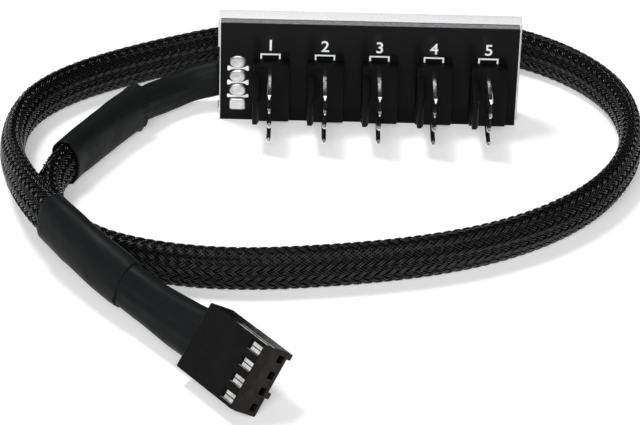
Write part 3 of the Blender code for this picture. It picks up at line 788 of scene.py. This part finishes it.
def makeTube(name, shape, material, seed):
    # a thin wall with a rounded, uneven cut lip at both ends, and soft dents along it
    wall, lip, recess, sides = (tubes[key] for key in ("wall", "lipRound", "recess", "sides"))
    first, last = spans[shape["span"]]
    tucks, flares, rags = shape["tuck"], shape["flare"], shape["ragged"]
    start, end = first - tucks[0] * mm, last + tucks[1] * mm
    shares, widths, heights = zip(*shape["sections"])
    # each stop is a distance along the cord and a depth below the tube's outside
    stops = [(start + recess, wall), (start + 0.5 * lip, wall)]
    stops += [(start, wall - lip * 0.6), (start, lip * 0.6)]
    count = int((end - start) / tubes["step"])
    stops += [(d, 0) for d in np.linspace(start + lip, end - lip, count)]
    stops += [(end, lip * 0.6), (end, wall - lip * 0.6), (end - 0.5 * lip, wall)]
    stops += [(d, wall) for d in np.arange(end - recess, start + 2 * recess, -recess)]
    angles = 2 * np.pi * np.arange(sides) / sides
    rings, shifts = [], []
    for distance, inset in stops:
        share = (distance - first) / (last - first)
        away = (distance - start, end - distance)
        tuck = 1
        for reach, gone in zip(tucks, away):
            if reach:
                tuck *= min(1, max(0, gone / mm - tubes["tuckStart"]))
        width = np.interp(share, shares, widths)
        width *= tubes["tuckWidth"] + (1 - tubes["tuckWidth"]) * tuck
        height = np.interp(share, shares, heights)
        height *= tubes["tuckHeight"] + (1 - tubes["tuckHeight"]) * tuck
        ring = ovalRing(width * mm, height * mm, sides)
        length = np.linalg.norm(ring, axis=1)
        near = [math.exp(-max(0, gone) / tubes["endReach"]) for gone in away]
        swell, shift = np.zeros(sides), np.zeros(sides)
        for k, angle in enumerate(angles):
            c, s = math.cos(angle), math.sin(angle)
            for deep, lengthwise, around in tubes["dents"]:
                swell[k] += deep * wobble(distance * lengthwise + seed, c * around, s * around)
            for e in (0, 1):
                torn = wobble(seed + 9 * e, c * 2.3, s * 2.3)
                torn += 0.5 * wobble(seed - 5 * e, c * 6, s * 6)
                swell[k] += near[e] * (flares[e] * (0.7 + 1.2 * torn) + 0.10 * rags[e] * torn)
                shift[k] += near[e] ** 0.5 * rags[e] * torn * mm
        ridges = np.cos(8 * np.pi * ring[:, 1] / (height * mm)) * -np.abs(np.cos(angles)) ** 0.5
        swell += shape["ridge"] * ridges
        rings.append(ring * ((1 - inset / length) + swell * mm / length)[:, None])
        shifts.append(shift)
    distances = [distance for distance, inset in stops]
    return sweep(name, distances, rings, material, closed=True, shifts=shifts)


# wires

bundle = {
    "width": (2.7, 2.7, 2.7, 2.7, 2.9, 3.0),  # millimetres, see the edges in makeCore
    "height": (5.0, 5.0, 5.9, 5.9, 5.8, 6.6),
    "widening": 3 * mm,
    "rings": 260,
    "sides": 20,
}
wires = {
    "radius": 0.62 * mm,
    "spacing": 1.55 * mm,  # where they enter the tube
    "sunk": 0.4 * mm,  # into the board
    "inside": 1.5 * mm,  # into the tube
    "leave": 1.7 * mm,  # how far they run straight at each end
    "enter": 3.2 * mm,
    "rings": 28,
    "sides": 14,
}


def makeCore(material):
    # the wires that fill the sleeve and the tubes, as one oval bundle
    sleeveStart, plugTube = spans[1][0], spans[3]
    edges = [0, sleeveStart, sleeveStart + bundle["widening"], *plugTube, cordLength]
    stops = np.linspace(0, cordLength, bundle["rings"])
    sizes = zip(np.interp(stops, edges, bundle["width"]), np.interp(stops, edges, bundle["height"]))
    rings = [ovalRing(width * mm, height * mm, bundle["sides"]) for width, height in sizes]
    return sweep("wireBundle", stops, rings, material)


def makeHubWires(material):
    points, faces = [], []
    middle, ahead, side, up = (x[0] for x in crossFrame(0.0))
    t = np.linspace(0, 1, wires["rings"])[:, None]
    angle = 2 * np.pi * np.arange(wires["sides"]) / wires["sides"]
    for i in range(4):
        rank = 1.5 - i
        z = pads["middle"] + rank * pads["pitch"]
        start = np.array([pads["x"], board["back"] - wires["sunk"], z])
        end = middle + up * rank * wires["spacing"] + ahead * wires["inside"]
        first, last = start + np.array([0, wires["leave"], 0]), end - ahead * wires["enter"]
        path = (1 - t) ** 3 * start + 3 * t * (1 - t) ** 2 * first
        path = path + 3 * t**2 * (1 - t) * last + t**3 * end
        way = normalized(np.gradient(path, axis=0))
        level = normalized(np.cross([0, 0, 1], way))
        faces += ringFaces(wires["rings"], wires["sides"], base=len(points))
        for p, a, b in zip(path, level, np.cross(way, level)):
            points += [p + wires["radius"] * (math.cos(x) * a + math.sin(x) * b) for x in angle]
    return makePiece("hubWires", points, faces, material)


# headers

headers = {
    "count": 5, "first": -15.55 * mm, "pitch": 8.55 * mm, "middle": 6.1 * mm,
    "baseLeft": 2.65 * mm, "baseRight": 3.05 * mm, "baseHeight": 10.0 * mm,
    "baseDepth": 2.4 * mm, "baseRound": 0.16 * mm,
    "wallThickness": 1.0 * mm, "wallLow": -1.4 * mm, "wallHigh": 3.6 * mm,
    "wallReach": 9.7 * mm, "wallRoot": 0.4 * mm, "wallRound": 0.1 * mm,
    "nick": 0.15 * mm, "leadIn": 0.7 * mm, "leadWidth": 0.3 * mm,
    "contacts": 4, "pinPitch": 2.54 * mm, "pinSide": 0.64 * mm, "pinReach": 10.65 * mm,
    "pinCorner": 1.36,  # corners' distance from the middle, in half sides
    "pinTip": ((0, 0.3), (0.06 * mm, 0.38), (0.72 * mm, 1)),  # back from the point, thickness
    "pinTurn": 0.006,  # radians, how far a pin may lean
}


def headerMesh(material):
    h = headers
    half, root = h["baseHeight"] / 2, -h["wallRoot"]
    left, right, tip = -h["baseLeft"], h["baseRight"], -h["wallReach"]
    inner = left + h["wallThickness"]
    base = [(left, -h["baseDepth"]), (right, -h["baseDepth"]), (right, 0), (left, 0)]
    # key wall with a lead-in at its tip
    wall = [
        (left, root), (left, tip + h["nick"]), (left + h["nick"], tip),
        (inner - h["leadWidth"], tip), (inner, tip + h["leadIn"]), (inner, root),
    ]
    whole = bmesh.new()
    for outline, low, high, rounding in (
        (base, -half, half, h["baseRound"]),
        (wall, h["wallLow"], h["wallHigh"], h["wallRound"]),
    ):
        bm = bmesh.new()
        prism(bm, *[[(x, y, z) for x, y in outline] for z in (low, high)])
        bmesh.ops.bevel(
            bm, geom=bm.edges[:], offset=rounding, segments=2, affect="EDGES", profile=0.6,
        )
        whole.from_mesh(meshOf(bm, "headerPart", material))
    return meshOf(whole, "header", material)


def pinMesh(material):
    # a square pin with narrow flats on its corners and a blunt point
    half, reach = headers["pinSide"] / 2, headers["pinReach"]
    rows = [(back - reach, share) for back, share in headers["pinTip"]] + [(0, 1)]
    angles = [math.radians(corner + turn) for corner in (45, 135, 225, 315) for turn in (-7, 7)]
    out = half * headers["pinCorner"]
    around = [(math.cos(a) * out, math.sin(a) * out) for a in angles]
    points = [(x * share, y, z * share) for y, share in rows for x, z in around]
    mesh = bpy.data.meshes.new("pin")
    mesh.from_pydata(points, [], ringFaces(len(rows), len(angles)))
    turnOut(mesh)
    mesh.materials.append(material)
    return mesh


def buildRowTree(name, material):
    # copies of one shape in rows and columns, each turned a hair
    tree, given, out = newTree(
        name, Columns="Int", Rows="Int", First="Vector", StepX="Vector", StepZ="Vector",
        Wobble="Float", Seed="Int",
    )
    index = addNode(tree, "GeometryNodeInputIndex").outputs[0]
    column = sums(tree, "FLOOR", sums(tree, "DIVIDE", index, given["Rows"]))
    row = sums(tree, "MODULO", index, given["Rows"])
    right, down = scaled(tree, given["StepX"], column), scaled(tree, given["StepZ"], row)
    seeds = addNode(tree, "GeometryNodePoints", {
        "Count": product(tree, given["Columns"], given["Rows"]),
        "Position": vectors(tree, "ADD", given["First"], vectors(tree, "ADD", right, down)),
    })
    turn = addNode(tree, "FunctionNodeRandomValue", {
        "Seed": given["Seed"],
        0: scaled(tree, (-1, -1, -1), given["Wobble"]),
        1: scaled(tree, (1, 1, 1), given["Wobble"]),
    }, data_type="FLOAT_VECTOR")
    copies = addNode(tree, "GeometryNodeInstanceOnPoints", {
        "Points": seeds.outputs[0], "Instance": given["Geometry"], "Rotation": turn.outputs[0],
    })
    finishTree(tree, copies.outputs[0], material, out)
    return tree


def makeHeaders(nylon, tin):
    h = headers
    top = h["middle"] + (h["contacts"] - 1) / 2 * h["pinPitch"]
    shells = runTree("headerShells", headerMesh(nylon), buildRowTree("headerRow", nylon), {
        "Columns": h["count"], "Rows": 1, "First": (h["first"], board["front"], h["middle"]),
        "StepX": (h["pitch"], 0, 0), "StepZ": (0, 0, 0), "Wobble": 0.0, "Seed": 1,
    }, sharpAngle=50)
    pins = runTree("headerPins", pinMesh(tin), buildRowTree("pinGrid", tin), {
        "Columns": h["count"], "Rows": h["contacts"], "First": (h["first"], board["front"], top),
        "StepX": (h["pitch"], 0, 0), "StepZ": (0, 0, -h["pinPitch"]),
        "Wobble": h["pinTurn"], "Seed": 4,
    }, sharpAngle=12)
    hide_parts(*[f"header_shell_{i}" for i in range(1, 6)])
    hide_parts(*[f"header_pin_{i}_{j}" for i in range(1, 6) for j in range(1, 5)])


# solder joints and white print

pads = {
    "x": -20.6 * mm, "middle": 6.75 * mm, "pitch": 2.54 * mm,
    "round": (2.75 * mm, 2.3 * mm, 2.1),  # width, height, roundness
    "square": (2.65 * mm, 2.1 * mm, 7),
    "rise": 0.4 * mm,
    "lumps": 0.16,
    "sides": 40,
    "levels": [  # (share of the width, share of the rise)
        (1, 0.0), (0.99, 0.3), (0.955, 0.58), (0.89, 0.8),
        (0.79, 0.93), (0.6, 0.98), (0.35, 1.0), (0.12, 1.01),
    ],
    "tip": 1.02,
}
marks = {
    "ink": 0.03 * mm,
    "sunk": 0.002 * mm,
    "weld": 0.017 * mm,
    "digitHeight": 1.95 * mm, "digitLow": 12.6 * mm, "digitWeight": 0.03 * mm,
    "capShare": 0.72,  # height of a digit as a share of the letter size
    "bracketWidth": 3.2 * mm, "bracketTop": 12.05 * mm, "legs": 0.95 * mm, "line": 0.27 * mm,
    # a quarter of the hourglass bars between the joints, millimetres
    "bar": [(0.55, 0.10), (1.05, 0.22), (1.35, 0.42), (1.6, 0.45), (1.68, 0.3)],
    "squareBarLow": -0.16,  # the lowest bar is cut short by the square joint
}


def makeJoints(solder):
    points, faces = [], []
    count, levels = pads["sides"], pads["levels"]
    for i in range(4):
        width, height, roundness = pads["square"] if i == 3 else pads["round"]
        z0 = pads["middle"] + (1.5 - i) * pads["pitch"]
        faces += ringFaces(len(levels), count, base=len(points), ends=1)
        for share, rise in levels:
            for x, z in ovalRing(width * share, height * share, count, roundness):
                lump = wobble(x * 900 + i * 7, z * 900, 3) * pads["lumps"] * (1 - share)
                y = board["front"] - pads["rise"] * (rise + lump)
                points.append((pads["x"] + x, y, z0 + z))
        last = len(points) - count
        faces += [(last + k, last + (k + 1) % count, len(points)) for k in range(count)]
        points.append((pads["x"], board["front"] - pads["rise"] * pads["tip"], z0))
    piece = makePiece("solderJoints", points, faces, solder)
    turnOut(piece.data)
    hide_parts(*[f"wire_joint_{i}" for i in range(1, 5)])


def digitMesh(digit):
    letter = bpy.data.curves.new(f"digit{digit}", "FONT")
    letter.body = digit
    letter.align_x = "CENTER"
    letter.size = marks["digitHeight"] / marks["capShare"]
    letter.extrude = marks["ink"] / 2
    letter.offset = marks["digitWeight"]
    return plainMesh(newObject(f"digit{digit}", letter))


def makeMarks(ink):
    bm = bmesh.new()
    depths = (board["front"] - marks["ink"], board["front"] - marks["sunk"])

    def stamp(outline):
        prism(bm, *[[(x, y, z) for x, z in outline] for y in depths])

    half, line, top = marks["bracketWidth"] / 2, marks["line"], marks["bracketTop"]
    foot = top - marks["legs"]
    middles = [headers["first"] + i * headers["pitch"] for i in range(headers["count"])]
    for x in middles:
        stamp([
            (x - half, top), (x + half, top), (x + half, foot), (x + half - line, foot),
            (x + half - line, top - line), (x - half + line, top - line),
            (x - half + line, foot), (x - half, foot),
        ])
    right = marks["bar"] + [(a, -b) for a, b in marks["bar"][::-1]]
    outline = right + [(-a, b) for a, b in right[::-1]]
    for i in range(3):
        z = pads["middle"] + (1 - i) * pads["pitch"]
        lowest = marks["squareBarLow"] if i == 2 else -1
        stamp([(pads["x"] + a * mm, z + max(b, lowest) * mm) for a, b in outline])
    upright = Matrix.Rotation(math.pi / 2, 4, "X")
    for i, x in enumerate(middles):
        mesh = digitMesh(str(i + 1))
        place = (x, board["front"] - marks["ink"] / 2, marks["digitLow"])
        mesh.transform(Matrix.Translation(place) @ upright)
        bm.from_mesh(mesh)
    bmesh.ops.remove_doubles(bm, verts=bm.verts, dist=marks["weld"])
    bmesh.ops.dissolve_degenerate(bm, edges=bm.edges, dist=0.001 * mm)
    bmesh.ops.recalc_face_normals(bm, faces=bm.faces)
    for face in bm.faces:
        face.material_index = 0
    linkPiece("whitePrint", meshOf(bm, "whitePrint", ink), smooth=False)


# foam pad

pad = {
    "front": 4.69 * mm, "back": 7.575 * mm, "halfLength": 23.8 * mm, "height": 17.3 * mm,
    "notchRight": -19.07 * mm, "notchLow": 0.9 * mm, "notchHigh": 12.1 * mm,  # for the wires
    "round": 0.12 * mm,
}


def makePad(foam):
    side, top, right = pad["halfLength"], pad["height"], pad["notchRight"]
    low, high = pad["notchLow"], pad["notchHigh"]
    outline = [
        (-side, 0), (side, 0), (side, top), (-side, top),
        (-side, high), (right, high), (right, low), (-side, low),
    ]
    bm = bmesh.new()
    prism(bm, *[[(x, y, z) for x, z in outline] for y in (pad["front"], pad["back"])])
    bmesh.ops.bevel(
        bm, geom=bm.edges[:], offset=pad["round"], segments=3, affect="EDGES", profile=0.5,
    )
    piece = linkPiece("foamPad", meshOf(bm, "foamPad", foam), sharpAngle=60)
    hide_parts("foam_pad")


# studio

studio = {
    "floor": (0.8, 0.8, 0.8),
    "floorCloud": (0.79, 0.79, 0.79),
    "halfFloor": 3,
    "lift": 0.34,  # keeps the floor white where nothing shades it
    "liftReach": (0.2, 1.0),  # further out the lamps fade, and the floor's own glow takes over
    "horizon": 0.09,  # pale all round at eye level, dim overhead
    "ceiling": 0.06,
    "lamps": {  # place, aim, size, power
        "keyLamp": ((-0.27, 0.18, 0.79), (0, -0.02, 0), (0.2, 0.2), 4.3),
        "fillLamp": ((-0.1, -0.8, 0.5), (0, -0.03, 0), (0.7, 0.5), 7.5),
        "cardLamp": ((-0.78, 0.0, 0.24), (-0.02, -0.08, 0), (0.3, 0.3), 0.2),
        "topLamp": ((0, 0.30, 0.76), (0, -0.02, 0), (0.3, 0.3), 0.5),
    },
}


def makeFloor():
    material, tree, shader, place = newMaterial("paleFloor")
    shade = mixColor(tree, noiseAt(tree, place, 40, 2), studio["floor"], studio["floorCloud"])
    paint(tree, shader, shade, 0.9, 0.0)
    shader.inputs["Emission Color"].default_value = (1, 1, 1, 1)
    rays = addNode(tree, "ShaderNodeLightPath").outputs
    seen = sums(tree, "MAXIMUM", rays["Is Camera Ray"], rays["Is Glossy Ray"])
    seen = sums(tree, "MAXIMUM", seen, rays["Is Transmission Ray"])
    away = vectors(tree, "LENGTH", place)
    glow = between(tree, away, *studio["liftReach"], studio["lift"], 1.0)
    plug(tree, product(tree, seen, glow), shader.inputs["Emission Strength"])
    bm = bmesh.new()
    bmesh.ops.create_grid(bm, x_segments=8, y_segments=8, size=studio["halfFloor"])
    newObject("floor", meshOf(bm, "floor", material))


def makeStudio():
    scene = bpy.context.scene
    scene.view_settings.view_transform = "Standard"
    makeFloor()
    world = bpy.data.worlds.new("studioWorld")
    world.use_nodes = True
    scene.world = world
    tree = world.node_tree
    background = tree.nodes["Background"].inputs
    way = addNode(tree, "ShaderNodeTexCoord").outputs["Generated"]
    light = between(tree, parts(tree, way)[2], 0.3, 0.48, studio["horizon"], studio["ceiling"])
    background["Color"].default_value = (1, 1, 1, 1)
    plug(tree, light, background["Strength"])
    for name, (place, aim, size, power) in studio["lamps"].items():
        data = bpy.data.lights.new(name, "AREA")
        data.shape = "RECTANGLE"
        data.size, data.size_y = size
        data.energy = power
        lamp = newObject(name, data)
        lamp.location = place
        toAim = Vector(aim) - Vector(place)
        lamp.rotation_euler = toAim.to_track_quat("-Z", "Y").to_euler()


# assembly

makeCamera()
nylon = makeNylonFinish("headerNylon", 0.42, 0.07)
plugNylon = makeNylonFinish("plugNylon", 0.26, 0.09, tintAndHighlights=True)
tubeFinish = makeTubeFinish()
tin = makeMetalFinish("tinPlate", finish["tin"], 0.15, 1500, 0.03)
solder = makeMetalFinish("brightSolder", finish["solder"], 0.34, 900, 0.2)
wireFinish = makeWireFinish()
fibre = makeFibreFinish()
print("finishes made")

core = makeCore(wireFinish)
braids = makeBraid(fibre)
for piece in (core, *braids):
    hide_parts("braided_sleeve")
for i, (name, shape) in enumerate(tubes["shapes"].items()):
    makeTube(name, shape, tubeFinish, 11.3 * i)
    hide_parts(shape["node"])
hubWires = makeHubWires(wireFinish)
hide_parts(*[f"hub_wire_{i}" for i in range(1, 5)])
print("cord made", round(cordLength, 4))

nodes["circuit_board"].data.materials[0] = makeBoardFinish()
nodes["plug_housing"].data.materials[0] = plugNylon
for i in range(1, 5):
    nodes[f"plug_terminal_{i}"].data.materials[0] = tin
    nodes[f"plug_wire_{i}"].data.materials[0] = wireFinish
makeHeaders(nylon, tin)
makeJoints(solder)
makeMarks(makeInkFinish())
makePad(makeFoamFinish())
print("hub made")

plugPieces = ["plug_housing"]
plugPieces += [f"plug_{kind}_{i}" for kind in ("terminal", "wire") for i in range(1, 5)]
makeStudio()
print("studio made")
